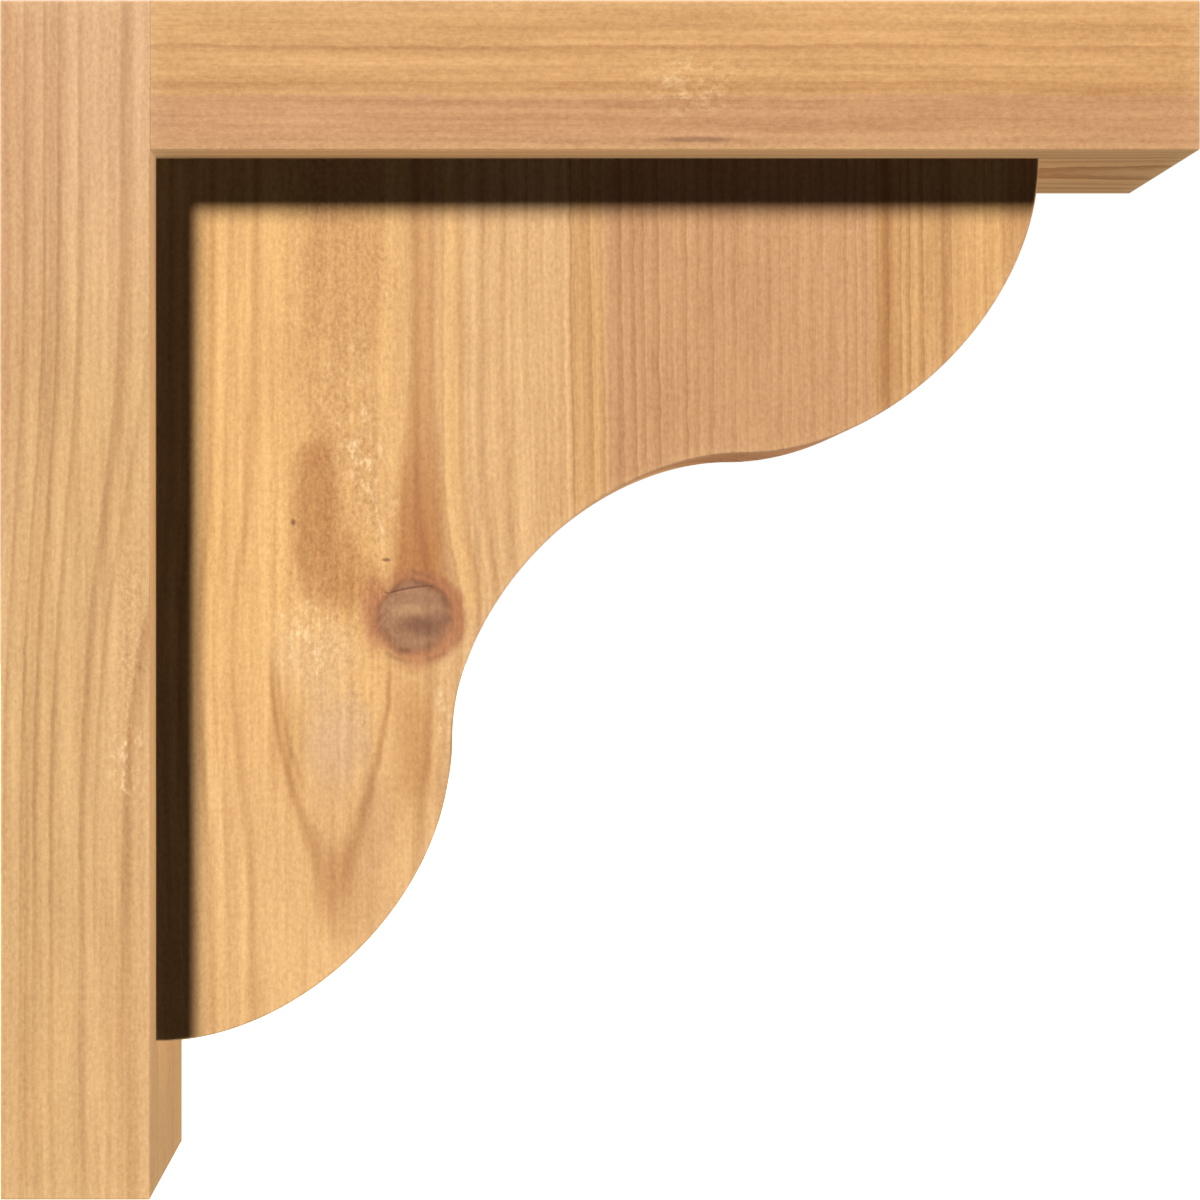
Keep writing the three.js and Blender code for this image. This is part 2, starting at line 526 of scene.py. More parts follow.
class Cedar:
    """One board's material while it is wired: grain first, then colour over colour, then the shader."""

    def __init__(self, name, grain, order, colours, base, near_face, seed, wander, knot=None, run_out=0.0):
        self.colours = colours
        self.material = bpy.data.materials.new(name)
        self.material.use_nodes = True
        self.tree = self.material.node_tree
        node = self.tree.nodes.new("ShaderNodeTexCoord")
        place = Wire(self.tree, node.outputs["Object"]).parts()
        facing = Wire(self.tree, node.outputs["Normal"]).parts()
        self.position = joined(*[place[axis] for axis in order]).times(1 / MM)
        self.near_face = near_face / MM
        self.pith_side = grain.pith_side / MM
        self.pith_depth = grain.pith_depth / MM
        self.colour = (*base, 1)
        self.field = self.place(
            "growth_field",
            position=self.position,
            pith_x=self.pith_side,
            pith_y=self.near_face + self.pith_depth,
            bulge=grain.bulge / MM,
            bulge_z=grain.bulge_up / MM,
            bulge_length=grain.bulge_length / MM,
            knot_x=knot.out / MM if knot else self.pith_side,
            knot_y=self.near_face,
            knot_z=knot.up / MM if knot else 0.0,
            knot_reach=knot.radius / MM * KNOT_TURNS_GRAIN if knot else 0.0,
            wander=wander,
            run_out=run_out,
            seed=seed,
        )
        self.rings = self.place(
            "growth_rings",
            radius=self.field["Radius"],
            first_ring=grain.first_ring / MM,
            ring_width=grain.ring_width / MM,
            seed=seed,
        )
        self.late = self.rings["Late"]
        self.fibres = self.place("fibres", position=self.position, seed=seed)
        self.ragged = cloud(self.position, (0.2, 0.2, 0.1), 3.0, 0.6, seed) - 0.5
        depth = self.position.parts()[1] - self.near_face
        self.shallow = depth.fall(*SHALLOW_DEPTHS)
        self.end = self.place("end_grain", across=facing[2])["Mask"]

    def place(self, group, **values):
        """One of the shared groups, placed in this material and fed with values."""
        node = self.tree.nodes.new("ShaderNodeGroup")
        node.node_tree = bpy.data.node_groups.get(group) or GROUP_BUILDERS[group]()
        feed_named(self.tree, node, values)
        return {output.name: Wire(self.tree, output) for output in node.outputs}

    def cover(self, mask, colour):
        """Lays a colour over what is there so far."""
        self.colour = blended(mask, self.colour, colour if isinstance(colour, Wire) else (*colour, 1))

    def shade(self, mask):
        """Darkens what is there so far as the end of a growth ring does."""
        self.colour = blended(mask, self.colour, (*self.colours.latewood, 1), "MULTIPLY")

    def between(self, value, start, end, softness):
        """A mask that is 1 between two values and softens to 0 outside them."""
        return self.place("band", value=value, start=start, end=end, softness=softness)["Mask"]

    def band(self, start, end, softness):
        """A mask along the grain, between two places across the near face."""
        radii = [math.hypot(place - self.pith_side, self.pith_depth) for place in (start, end)]
        return self.between(self.field["Radius"], *radii, softness)

    def line(self, radius, width):
        """A strong growth line at a distance from the pith, in millimetres."""
        return self.place("ring_line", radius=self.field["Radius"], place=radius, width=width)["Mask"]

    def soft_line(self, radius, reach):
        """A growth line that fades to both sides, and is gone at its reach."""
        half = reach / 2
        return self.between(self.field["Radius"], radius - half, radius + half, half)

    def patch(self, out, up, half_width, half_height, ragged=1.0):
        """A ragged oval on the near face, placed in millimetres."""
        return self.place(
            "patch",
            position=self.position,
            centre_x=out,
            centre_z=up,
            half_width=half_width,
            half_height=half_height,
            near_face=self.near_face,
            edge=self.ragged * ragged,
        )["Mask"]

    def flecks(self, mask):
        """Small pale flecks, as thick as the mask says."""
        self.cover(self.fibres["Dapple"].ramp(-0.05, 0.35) * mask * 0.8, self.colours.fleck_and_highlight)

    def finish(self, freckles):
        """Lays rings, fibres and freckles over the colour, and wires the shader."""
        fibres = self.fibres
        long_grain = self.end.flipped()
        self.shade(self.late * (self.end * 0.45 + 0.32))
        grain = fibres["Coarse"] * 0.26 + fibres["Fine"] * 0.1 + fibres["Cloud"] * 0.11
        freckle = fibres["Freckle"] * (freckles * 0.25 + 0.3)
        tone = (grain + freckle) * (long_grain * 0.8 + 0.2) - self.end * 0.24
        # The arrises' pale edge is partly wear and partly painted highlight, laid in the fleck colour.
        worn_and_highlighted = attribute(self.tree, "arris") * (fibres["Freckle"] * 0.5 + 0.6)
        self.colour = self.colour.times(joined(tone * 0.75 + 1.0, tone + 1.0, tone * 1.2 + 1.0))
        self.cover(worn_and_highlighted * 0.35, self.colours.fleck_and_highlight)
        height = fibres["Fine"] * 0.014 + fibres["Freckle"] * (self.end * 0.04 + 0.006)
        roughness = self.end * 0.14 + fibres["Freckle"] * 0.05 - self.late * 0.05 - worn_and_highlighted * 0.05 + 0.6
        shader = self.tree.nodes["Principled BSDF"]
        shader.inputs["Specular IOR Level"].default_value = 0.35
        feed(self.tree, shader.inputs["Base Color"], self.colour)
        feed(self.tree, shader.inputs["Roughness"], roughness)
        bump = self.tree.nodes.new("ShaderNodeBump")
        bump.inputs["Strength"].default_value = 1.0
        bump.inputs["Distance"].default_value = MM
        feed(self.tree, bump.inputs["Height"], height)
        self.tree.links.new(bump.outputs["Normal"], shader.inputs["Normal"])
        return self.material


def wall_leg_material(grain, colours):
    """Planed cedar for the wall leg, with open straight grain."""
    base, near = colours.leg_pale, WALL_LEG[0].y
    cedar = Cedar("cedar_wall_leg", grain, UPRIGHT, colours, base, near, 3.0, 1.2, run_out=0.012)
    cedar.cover(cedar.rings["Slow"].ramp(0.42, 0.62) * 0.7, colours.leg_rose)
    cedar.cover(cedar.fibres["Cloud"].ramp(-0.05, 0.35) * 0.3, colours.amber)
    x, _, z = cedar.position.parts()
    cedar.cover(z.ramp(40.0, 130.0) * 0.35, colours.blush)
    cedar.cover(z.ramp(-40.0, 130.0) * x.fall(6.0, 22.0) * 0.35, colours.rose)
    cedar.cover(cedar.band(3.0, -2.0, 0.5) * 0.6, colours.rose)
    fading_down = z.ramp(-125.0, -50.0) * 0.6 + 0.4
    for radius, width, strength in (
        (58.1, 0.7, 0.45), (60.4, 0.5, 0.25), (61.8, 0.9, 0.4), (65.4, 0.8, 0.35),
        (67.7, 1.1, 0.4), (69.6, 0.9, 0.4), (72.2, 0.8, 0.3),
    ):
        cedar.shade(cedar.line(radius, width) * fading_down * strength)
    cedar.late = cedar.late * 0.8
    for out, up in ((36.6, -8.4), (35.6, -17.5)):
        cedar.cover(cedar.patch(out, up, 0.7, 1.0, 0.3) * 0.5, colours.resin)
    cedar.flecks(cedar.patch(32, -41, 6, 13))
    return cedar.finish(cedar.patch(33, -10, 4, 30))


def top_leg_material(grain, colours):
    """Planed cedar for the top leg: yellow-brown above and pinkish below, with nearly straight grain."""
    base, near = colours.amber, TOP_LEG[0].y
    cedar = Cedar("cedar_top_leg", grain, LEVEL, colours, base, near, 8.0, 0.9, run_out=-0.022)
    cedar.cover(cedar.field["Radius"].fall(69.6, 70.4), colours.leg_dull)
    cedar.cover(cedar.band(114.2, 128.3, 0.7), colours.rose)
    cedar.shade(cedar.band(114.2, 128.3, 0.7) * 0.14)
    cedar.shade(cedar.band(128.8, 132.2, 0.7) * 0.2)
    cedar.shade(cedar.soft_line(92.2, 0.8) * cedar.shallow * 0.15)
    cedar.cover(cedar.patch(117.0, 177.0, 0.9, 12, 0.3) * 0.6, colours.knot_dark)
    cedar.flecks(cedar.patch(131, 174, 11, 14) * 0.5)
    return cedar.finish(cedar.patch(132, 176, 9, 16))


def brace_material(grain, knot, colours):
    """Planed knotty cedar for the brace: bands of colour, strong growth lines, a resin streak, the knot."""
    base, near = colours.pale, BRACE[0].y
    cedar = Cedar("cedar_brace", grain, UPRIGHT, colours, base, near, 11.0, 0.8, knot=knot)
    x, _, z = cedar.position.parts()
    wall_side = x.fall(cedar.pith_side + 5.0, cedar.pith_side + 33.0)
    cedar.cover(wall_side * (z.ramp(-70.0, 0.0) * 0.45 + 0.45), colours.honey)
    for start, end, softness, strength, colour in (
        (144.5, 153.4, 0.4, 0.8, colours.amber),
        (153.4, 223.0, 0.6, 0.95, colours.rose),
        (223.0, 300.0, 0.8, 0.9, colours.amber),
        (245.0, 256.0, 1.5, 0.4, colours.honey),
        (257.0, 275.0, 1.0, 0.35, colours.umber),
    ):
        cedar.cover(cedar.band(start, end, softness) * strength, colour)
    over_pith = cedar.field["Radius"].fall(75.6, 76.0)
    cedar.cover(cedar.patch(86.5, 86, 17, 62) * over_pith, colours.tan)
    for out, up, half_width, half_height, strength, colour in (
        (84.5, 20, 14, 34, 0.5, colours.tan),
        (84.0, 8, 11, 15, 0.7, colours.umber),
        (74.0, -36, 8, 18, 0.45, colours.tan),
        (91.0, -78, 11, 17, 0.5, colours.rose),
        (92.0, 38, 6, 14, 0.6, colours.amber),
        (97.0, 24, 4.5, 12, 0.6, colours.amber),
        (80.0, 25, 6.5, 17, 0.8, colours.umber),
        (76.5, 24, 4.5, 18, 0.6, colours.umber),
        (79.5, 38, 5, 5, 0.6, colours.resin),
        (90.5, 3, 7, 10, 0.6, colours.umber),
        (113.5, 6, 6, 12, 0.35, colours.rose),
        (79.5, -16, 14, 13, 0.9, colours.pale),
        (85.0, -36, 11, 18, 0.9, colours.leg_pale),
        (85.0, -36, 9, 16, 0.35, colours.blush),
        (83.0, -58, 6, 22, 0.35, colours.rose),
        (94.5, -58, 7, 17, 0.7, colours.rose),
        (105.0, -36, 7.5, 25, 0.95, colours.tan),
        (84.5, -76, 7, 16, 0.4, colours.tan),
        (94.0, -4, 4.5, 11, 0.75, colours.knot_halo),
        (104.5, -15.5, 6, 4, 0.35, colours.knot_halo),
    ):
        cedar.cover(cedar.patch(out, up, half_width, half_height) * strength, colour)
    above_knot = z.ramp(knot.up / MM - 2, knot.up / MM + 6) * cedar.shallow
    near_knot = z.fall(0.0, 65.0)
    start = near_knot * -5.0 + 103.8
    end = near_knot * 2.6 + 110.2
    streak = cedar.between(x + cedar.ragged * 2.0, start, end, near_knot * 2.5 + 0.7)
    cedar.cover(streak * above_knot * (near_knot * 0.65 + 0.42), colours.resin)
    heart = cedar.between(x + cedar.ragged * 3.0, 104.8, 107.6, 1.6)
    cedar.cover(heart * above_knot * near_knot.squared() * 0.5, colours.knot_halo)
    cedar.cover(cedar.band(111.5, 116.5, 0.5) * above_knot * 0.5, colours.honey)
    under_knot = z.ramp(-92.0, -60.0) * z.fall(-24.0, -8.0)
    cedar.shade(cedar.soft_line(74.7, 0.3) * under_knot * 0.5)
    within = z.ramp(-54.0, -40.0) * x.fall(80.0, 84.0)
    cedar.shade(cedar.soft_line(74.35, 0.25) * under_knot * within * 0.4)
    for radius, softness, strength in (
        (77.6, 0.6, 0.35), (81.2, 0.7, 0.3), (83.4, 0.8, 0.35), (85.9, 0.9, 0.25),
        (159.7, 3.0, 0.65), (173.3, 1.5, 0.4),
    ):
        cedar.shade(cedar.soft_line(radius, softness) * strength)
    cedar.shade(cedar.line(95.9, 0.8) * 0.4)
    for out, up, half_width, half_height, strength in (
        (92.5, 37, 6.5, 14, 1.0), (97.0, 23, 4.5, 12, 1.0), (77.0, -9, 11, 12, 1.0),
        (113.0, -31, 4, 13, 1.0), (89.0, 55, 10, 30, 0.4),
    ):
        cedar.flecks(cedar.patch(out, up, half_width, half_height) * strength)
    for out, up, half_width, half_height in ((73.55, 20.1, 0.8, 1.0), (97.6, 10.4, 1.4, 0.6)):
        cedar.cover(cedar.patch(out, up, half_width, half_height, 0.3) * 0.8, colours.knot_dark)
    field = cedar.field
    masks = cedar.place(
        "knot",
        side=field["Side"],
        rise=field["Rise"],
        taper=field["Taper"],
        radius=knot.radius / MM,
        position=cedar.position,
    )
    cedar.cover(masks["Halo"] * 0.85, colours.knot_halo)
    cedar.cover(masks["Collar"] * 0.35, colours.knot_dark)
    core = blended(masks["Ring"] * 0.12, (*colours.knot_core, 1), (*colours.knot_dark, 1))
    core = blended(masks["Bloom"] * 0.3, core, (*colours.pale, 1))
    core = blended(masks["Stain"] * 0.85, core, (*colours.knot_dark, 1))
    cedar.cover(masks["Core"], core)
    cedar.cover(masks["Rim"] * 0.7, colours.knot_dark)
    # Painted shade in the check, where a deeper crack would lie in shadow.
    cedar.cover(attribute(cedar.tree, "check"), colours.check)
    cedar.late = cedar.late * masks["Core"].flipped() * (wall_side * -0.6 + 1.35)
    freckles = cedar.patch(85, 12, 18, 46) + cedar.patch(85.5, 84, 15, 52)
    return cedar.finish(freckles)


def mesh_piece(name, points, faces, node, slot, material, **numbers):
    """A smooth-shaded mesh that stands for a packed node, with its attributes' numbers at each point."""
    mesh = bpy.data.meshes.new(name)
    mesh.from_pydata([tuple(point) for point in points], [], [list(map(int, face)) for face in faces])
    mesh.validate()
    for label, values in numbers.items():
        layer = mesh.attributes.new(label, "FLOAT", "POINT")
        layer.data.foreach_set("value", np.asarray(values, np.float32))
    mesh.polygons.foreach_set("use_smooth", [True] * len(mesh.polygons))
    mesh.set_sharp_from_angle(angle=math.radians(38))
    mesh.materials.append(material)
    piece = bpy.data.objects.new(name, mesh)
    bpy.context.scene.collection.objects.link(piece)
    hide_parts(node)
    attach(piece, "root")
    return piece


ARC_STEPS = 3  # mesh steps in half an arris
SUPPORT = 0.3 * MM  # a row just inside an arris, which keeps the flat face's shading flat
JOINT_RUN = 1.5 * MM  # how soon an arris dies out where a joint begins


def cell_lines(low, high, arris, cell, extra=()):
    """Places of the mesh lines along one axis of a board: close on its arrises, even between them."""
    angles = [math.pi / 4 * (1 - step / ARC_STEPS) for step in range(ARC_STEPS + 1)]
    near = [arris * (1 - math.tan(angle)) for angle in angles] + [arris + SUPPORT]
    middle = np.linspace(low + near[-1], high - near[-1], max(2, round((high - low) / cell)))
    lines = [low + place for place in near[:-1]] + list(middle) + [high - place for place in near[:-1]]
    return np.array(sorted(set(np.round([*lines, *extra], 9))))


def box_surface(lines):
    """Points and quads over a box's six sides, from the mesh lines along each axis."""
    counts = [len(axis) for axis in lines]
    inside = np.zeros(counts, bool)
    inside[1:-1, 1:-1, 1:-1] = True
    numbers = np.full(counts, -1)
    numbers[~inside] = np.arange((~inside).sum())
    points = np.stack(np.meshgrid(*lines, indexing="ij"), axis=-1)[~inside]
    faces = []
    for axis in range(3):
        for end in (0, -1):
            sheet = np.take(numbers, end, axis=axis)
            corners = (sheet[:-1, :-1], sheet[1:, :-1], sheet[1:, 1:], sheet[:-1, 1:])
            quads = np.stack(corners, axis=-1).reshape(-1, 4)
            outward = (axis != 1) == (end == -1)
            faces.append(quads if outward else quads[:, ::-1])
    return points, np.concatenate(faces)


def eased(points, low, high, low_arris, high_arris):
    """Points on a box's sides, moved in to round its edges. The arris may differ by point and by side."""
    core = np.minimum(np.maximum(points, low + low_arris), high - high_arris)
    arris = np.where(points > core, high_arris, low_arris)
    out = np.divide(points - core, arris, out=np.zeros_like(points), where=arris > 1e-9)
    reach = np.linalg.norm(out, axis=1, keepdims=True)
    return np.where(reach > 1e-9, core + arris * out / np.maximum(reach, 1e-9), points)


DIP_SIZE = 45 * MM
FLAT_BORDER = 10 * MM  # a planed face dips less and less within this distance of its edges
# The arrises' pale edge reaches this far in: partly wear, partly painted highlight.
WORN_AND_HIGHLIGHT_REACH = 1.2 * MM  # how far in from an edge the wood is worn pale


def dips(points, seed):
    """A slow unevenness from 0 to 1 at each point."""
    shift = Vector((seed, seed * 0.37, -seed))
    return np.array([noise.noise(Vector(point) / DIP_SIZE + shift) * 0.5 + 0.5 for point in points])


def leg_piece(node, box, sizes, seed, material, back_arris=1.0, square_above=None):
    """A planed board. back_arris is the share of the arris that its back keeps.

    Above the height square_above, where another board meets it, its front edges have no arris.
    """
    low, high = np.array(box[0]), np.array(box[1])
    joint_lines = ()
    if square_above is not None:
        joint_lines = (square_above, square_above - JOINT_RUN / 2, square_above - JOINT_RUN)
    extra = ((), (), joint_lines)
    lines = [cell_lines(low[axis], high[axis], sizes.arris, sizes.cell, extra[axis]) for axis in range(3)]
    points, faces = box_surface(lines)
    edge_gap = np.sort(np.minimum(points - low, high - points), axis=1)[:, 1]
    low_arris = np.full_like(points, sizes.arris)
    high_arris = np.full_like(points, sizes.arris)
    low_arris[:, 0] *= back_arris
    if square_above is not None:
        high_arris[:, 0] *= np.clip((square_above - points[:, 2]) / JOINT_RUN, 0, 1)
    points = eased(points, low, high, low_arris, high_arris)
    flat = np.clip(edge_gap / FLAT_BORDER, 0, 1)
    inward = np.sign((low + high) / 2 - points) * (np.minimum(points - low, high - points) < sizes.arris)
    points = points + inward * (dips(points, seed) * flat * sizes.uneven)[:, None]
    # How much each point takes the arrises' pale edge of wear and painted highlight.
    worn_and_highlighted = np.exp(-edge_gap / WORN_AND_HIGHLIGHT_REACH)
    board = mesh_piece(node + "_board", points, faces, node, "cedar_legs", material, arris=worn_and_highlighted)
    board.visible_diffuse = False


class CORBEL_OT_wall_leg(Operator):
    """Build the wall leg: an upright planed board, with square front edges where the top leg meets it"""

    bl_idname = "corbel.wall_leg"
    bl_label = "Wall Leg"

    def execute(self, context):
        scene = context.scene
        material = wall_leg_material(scene.corbel_wall_leg_grain, scene.corbel_colours)
        leg_piece("wall_leg", WALL_LEG, scene.corbel_sizes, 3.1, material, square_above=UNDERSIDE)
        return {"FINISHED"}


class CORBEL_OT_top_leg(Operator):
    """Build the top leg: a level planed board butted square against the wall leg"""

    bl_idname = "corbel.top_leg"
    bl_label = "Top Leg"

    def execute(self, context):
        scene = context.scene
        low = Vector((WALL_LEG_FRONT + scene.corbel_sizes.joint, TOP_LEG[0].y, TOP_LEG[0].z))
        material = top_leg_material(scene.corbel_top_leg_grain, scene.corbel_colours)
        leg_piece("top_leg", (low, TOP_LEG[1]), scene.corbel_sizes, 5.7, material, back_arris=0.0)
        return {"FINISHED"}


OGEE_CURVES = 3
OGEE_FULLNESS = 0.5  # a curve's handles as a share of its reach
OGEE_LENGTH = 1.6  # a curve's length, roughly, as a share of its reach
OGEE_STEP = 0.35 * MM


def ogee_outline(left, bottom, right, top):
    """Points along the sawn edge and the unit direction at each, with about one step between them.

    It swells, hollows and swells again in three equal curves, each meeting the next square to the legs.
    """
    reach = np.array([right - left, top - bottom]) / OGEE_CURVES
    count = round(OGEE_LENGTH * reach[0] / OGEE_STEP)
    places, ways = [], []
    for curve in range(OGEE_CURVES):
        first, last = np.array([1.0, 0.0]), np.array([0.0, 1.0])
        if curve % 2:
            first, last = last, first
        start = np.array([left, bottom]) + reach * curve
        end = start + reach
        handle_in = start + reach * first * OGEE_FULLNESS
        handle_out = end - reach * last * OGEE_FULLNESS
        corners = np.array([start, handle_in, handle_out, end])
        done = np.linspace(0, 1, count, endpoint=curve == OGEE_CURVES - 1)
        ahead = 1 - done
        weights = np.stack([ahead**3, 3 * ahead**2 * done, 3 * ahead * done**2, done**3], axis=1)
        places.append(weights @ corners)
        weights = np.stack([ahead**2, 2 * ahead * done, done**2], axis=1)
        ways.append(weights @ np.diff(corners, axis=0))
    way = np.concatenate(ways)
    return np.concatenate(places), way / np.linalg.norm(way, axis=1, keepdims=True)


def turned_inward(way):
    """The directions a quarter turn left of these, which lead from the sawn edge into the board."""
    return np.stack([-way[:, 1], way[:, 0]], axis=1)


def sheet_of_triangles(border, inner):
    """Triangles that fill a closed border, through inner points. Both are in metres, in the X-Z plane."""
    count = len(border)
    points = [Vector(point / MM) for point in np.concatenate([border, inner])]
    ring = [(index, (index + 1) % count) for index in range(count)]
    places, _, triangles, origins, _, _ = geometry.delaunay_2d_cdt(points, ring, [], 1, 1e-5)
    order = {origin: index for index, found in enumerate(origins) for origin in found}
    border_numbers = [order[index] for index in range(count)]
    return np.array([tuple(place) for place in places]) * MM, triangles, border_numbers


def inside_outline(points, outline, margin):
    """Which points lie left of and above the sawn edge, by at least a margin."""
    edge, way = outline
    inward = turned_inward(way)
    nearest = [np.argmin(((edge - point) ** 2).sum(1)) for point in points]
    return ((points - edge[nearest]) * inward[nearest]).sum(1) > margin


def hex_points(low, high, cell):
    """Points in staggered rows between two corners."""
    rows = np.arange(low[1], high[1], cell * math.sqrt(3) / 2)
    found = []
    for number, up in enumerate(rows):
        along = np.arange(low[0] + cell / 2 * (number % 2), high[0], cell)
        found.append(np.stack([along, np.full(len(along), up)], axis=1))
    return np.concatenate(found)


class CORBEL_OT_brace(Operator):
    """Build the brace: knotty cedar between the legs, band-sawn along its free edge to a double ogee"""

    bl_idname = "corbel.brace"
    bl_label = "Ogee Brace"

    def execute(self, context):
        scene = context.scene
        sizes, knot = scene.corbel_sizes, scene.corbel_knot
        points, faces, arris, check = brace_mesh(sizes, knot)
        material = brace_material(scene.corbel_brace_grain, knot, scene.corbel_colours)
        mesh_piece(
            "ogee_brace_board", points, faces, "ogee_brace", "cedar_brace", material,
            arris=arris, check=check,
        )
        return {"FINISHED"}


BAND_ROWS = 15  # mesh rows across the sawn edge, between its arrises
STRAIGHT_STEPS = 60  # mesh steps along each edge that meets a leg
MARK_DRIFT = 9 * MM  # over how long the saw's marks change in pitch and depth


def saw_marks(edge, pitch):
    """How deep the band saw cut at each point of the sawn edge, from 0 to about 1."""
    travelled = np.concatenate([[0], np.cumsum(np.linalg.norm(np.diff(edge, axis=0), axis=1))])
    drift = np.array([noise.noise(Vector((place / MARK_DRIFT, 4.2, 0))) for place in travelled])
    marks = 0.5 - 0.5 * np.cos(math.tau * travelled / pitch + 2.2 * drift)
    return marks * np.clip(0.7 + drift, 0.15, 1.4)


def sawn_band(edge, way, near, far, sizes):
    """Rows of points across the sawn edge, from the near face to the far one, round both arrises."""
    inward = turned_inward(way)
    marks = saw_marks(edge, sizes.saw_pitch) * sizes.saw_depth
    angles = np.linspace(0, math.pi / 2, 2 * ARC_STEPS + 1)
    arc_in = sizes.arris * (1 - np.sin(angles))
    arc_up = sizes.arris * (1 - np.cos(angles))
    across = np.linspace(near + sizes.arris + SUPPORT, far - sizes.arris - SUPPORT, BAND_ROWS)
    depths = np.concatenate([near + arc_up, across, far - arc_up[::-1]])
    insets = np.concatenate([arc_in, np.zeros(len(across)), arc_in[::-1]])
    rows = []
    for depth, inset in zip(depths, insets):
        sunk = marks[:, None] if inset < 1e-9 else inset
        rows.append(np.insert(edge + inward * sunk, 1, depth, axis=1))
    return np.stack(rows)


def brace_mesh(sizes, knot):
    """The brace's points and faces, and how much each point is arris and check."""
    left = WALL_LEG_FRONT + sizes.joint
    top = UNDERSIDE - sizes.joint
    right, bottom = BRACE[1].x, BRACE[0].z
    near, far = BRACE[0].y, BRACE[1].y
    edge, way = ogee_outline(left, bottom, right, top)
    band = sawn_band(edge, way, near, far, sizes)
    count = len(edge)
    points = [band.reshape(-1, 3)]
    numbers = np.arange(band.shape[0] * count).reshape(band.shape[0], count)
    corners = (numbers[:-1, :-1], numbers[1:, :-1], numbers[1:, 1:], numbers[:-1, 1:])
    faces = list(np.stack(corners, axis=-1).reshape(-1, 4))
    total = numbers.size

    corner = np.array([left, top])
    top_edge = np.linspace([right - sizes.arris, top], corner, STRAIGHT_STEPS)[1:]
    left_edge = np.linspace(corner, [left, bottom + sizes.arris], STRAIGHT_STEPS)[1:-1]
    rings = []
    for face, outer in ((near, 0), (far, -1)):
        is_near = face == near
        border = np.concatenate([band[outer][:, [0, 2]], top_edge, left_edge])
        inner = cap_points(edge, way, left, top, knot, sizes, is_near)
        places, triangles, ring = sheet_of_triangles(border, inner)
        sunk = cap_relief(places, knot, sizes, is_near, border)
        lifted = np.insert(places, 1, face + sunk if is_near else face - sunk, axis=1)
        new_numbers = np.full(len(places), -1)
        new_numbers[ring[:count]] = numbers[outer]
        fresh = new_numbers < 0
        new_numbers[fresh] = total + np.arange(fresh.sum())
        total += int(fresh.sum())
        points.append(lifted[fresh])
        turn = 1 if is_near else -1
        faces.extend(new_numbers[list(triangle)][::turn] for triangle in triangles)
        rings.append([numbers[outer, -1], *new_numbers[ring[count:]], numbers[outer, 0]])
    near_ring, far_ring = rings
    for index in range(len(near_ring) - 1):
        faces.append((near_ring[index], far_ring[index], far_ring[index + 1], near_ring[index + 1]))
    faces.extend((numbers[::-1, 0], numbers[:, -1]))
    points = np.concatenate(points)
    gap = np.minimum(points[:, 1] - near, far - points[:, 1])
    # How much each point takes the arrises' pale edge of wear and painted highlight.
    arris = np.exp(-np.maximum(gap, nearest_gap(points[:, [0, 2]], edge[::4])) / WORN_AND_HIGHLIGHT_REACH)
    return points, faces, arris, check_shade_mask(points, knot, near)


def nearest_gap(places, others):
    """How far each place is from the nearest of the others."""
    return np.array([np.sqrt(((others - place) ** 2).sum(1).min()) for place in places])


KNOT_CELL = 0.6 * MM
KNOT_DIP = 0.07 * MM  # how far the wood sinks in a ring round the knot's core


def cap_points(edge, way, left, top, knot, sizes, has_check):
    """Inner points of a flat side: rows beside the sawn edge, close round the knot, wide elsewhere."""
    inward = turned_inward(way)
    found = []
    for gap, stride in ((SUPPORT, 2), (1.2 * MM, 4), (3 * MM, 8)):
        row = (edge + inward * (sizes.arris + gap))[::stride]
        inside = (row[:, 0] > left + gap) & (row[:, 1] < top - gap)
        found.append(row[inside])
    centre = np.array([knot.out, knot.up])
    around = knot.radius * 2
    round_knot = knot.radius * 1.9
    wide = hex_points(edge.min(0) + 2 * MM, edge.max(0) - 2 * MM, sizes.cell)
    wide = wide[np.linalg.norm(wide - centre, axis=1) > round_knot]
    found.append(wide[inside_outline(wide, (edge, way), 6 * MM)])
    close = hex_points(centre - around, centre + around, KNOT_CELL)
    close = close[np.linalg.norm(close - centre, axis=1) < round_knot]
    close = close[inside_outline(close, (edge, way), 4.5 * MM)]
    if has_check:
        close = close[np.abs(close[:, 1] - check_curve(knot, close[:, 0])) > knot.check_width * 0.9]
        found.append(check_points(knot))
    found.append(close)
    return np.concatenate(found)


CHECK_SHIFT = 0.9 * MM  # how far the check's middle is from the knot's centre, towards the wall
CHECK_STEPS = 45


def check_curve(knot, across):
    """Height of the check over the face at a place across it: it sags slightly to its left end."""
    share = (across - knot.out) / knot.check_length
    return knot.up + knot.check_up + share * 1.6 * MM - share * share * 1.8 * MM


def check_taper(share):
    """1 at the check's middle and 0 at its ends, at a share of its length from its middle."""
    return np.sqrt(np.clip(1 - (2 * share) ** 2, 0, 1))


def check_points(knot):
    """Points along the check's two lips and its bottom."""
    shares = np.linspace(-0.5, 0.5, CHECK_STEPS)
    across = knot.out - CHECK_SHIFT + shares * knot.check_length
    up = check_curve(knot, across)
    half = knot.check_width / 2 * check_taper(shares)
    lips = [np.stack([across, up + sign * half], axis=1) for sign in (-1, 1)]
    bottom = np.stack([across, up], axis=1)[1:-1]
    outer = [np.stack([across, up + sign * (half + 0.25 * MM)], axis=1) for sign in (-1, 1)]
    return np.concatenate([lips[0][1:-1], lips[1], bottom, *outer])


def check_share(places, knot):
    """How near each place is to the check's middle line, from 0 at its lips to 1, and the taper there."""
    share = (places[:, 0] - (knot.out - CHECK_SHIFT)) / knot.check_length
    half = knot.check_width / 2 * check_taper(share)
    gap = np.abs(places[:, 1] - check_curve(knot, places[:, 0]))
    inside = np.clip(1 - gap / np.maximum(half, 1e-6), 0, 1) * (np.abs(share) < 0.5)
    return inside, check_taper(share)


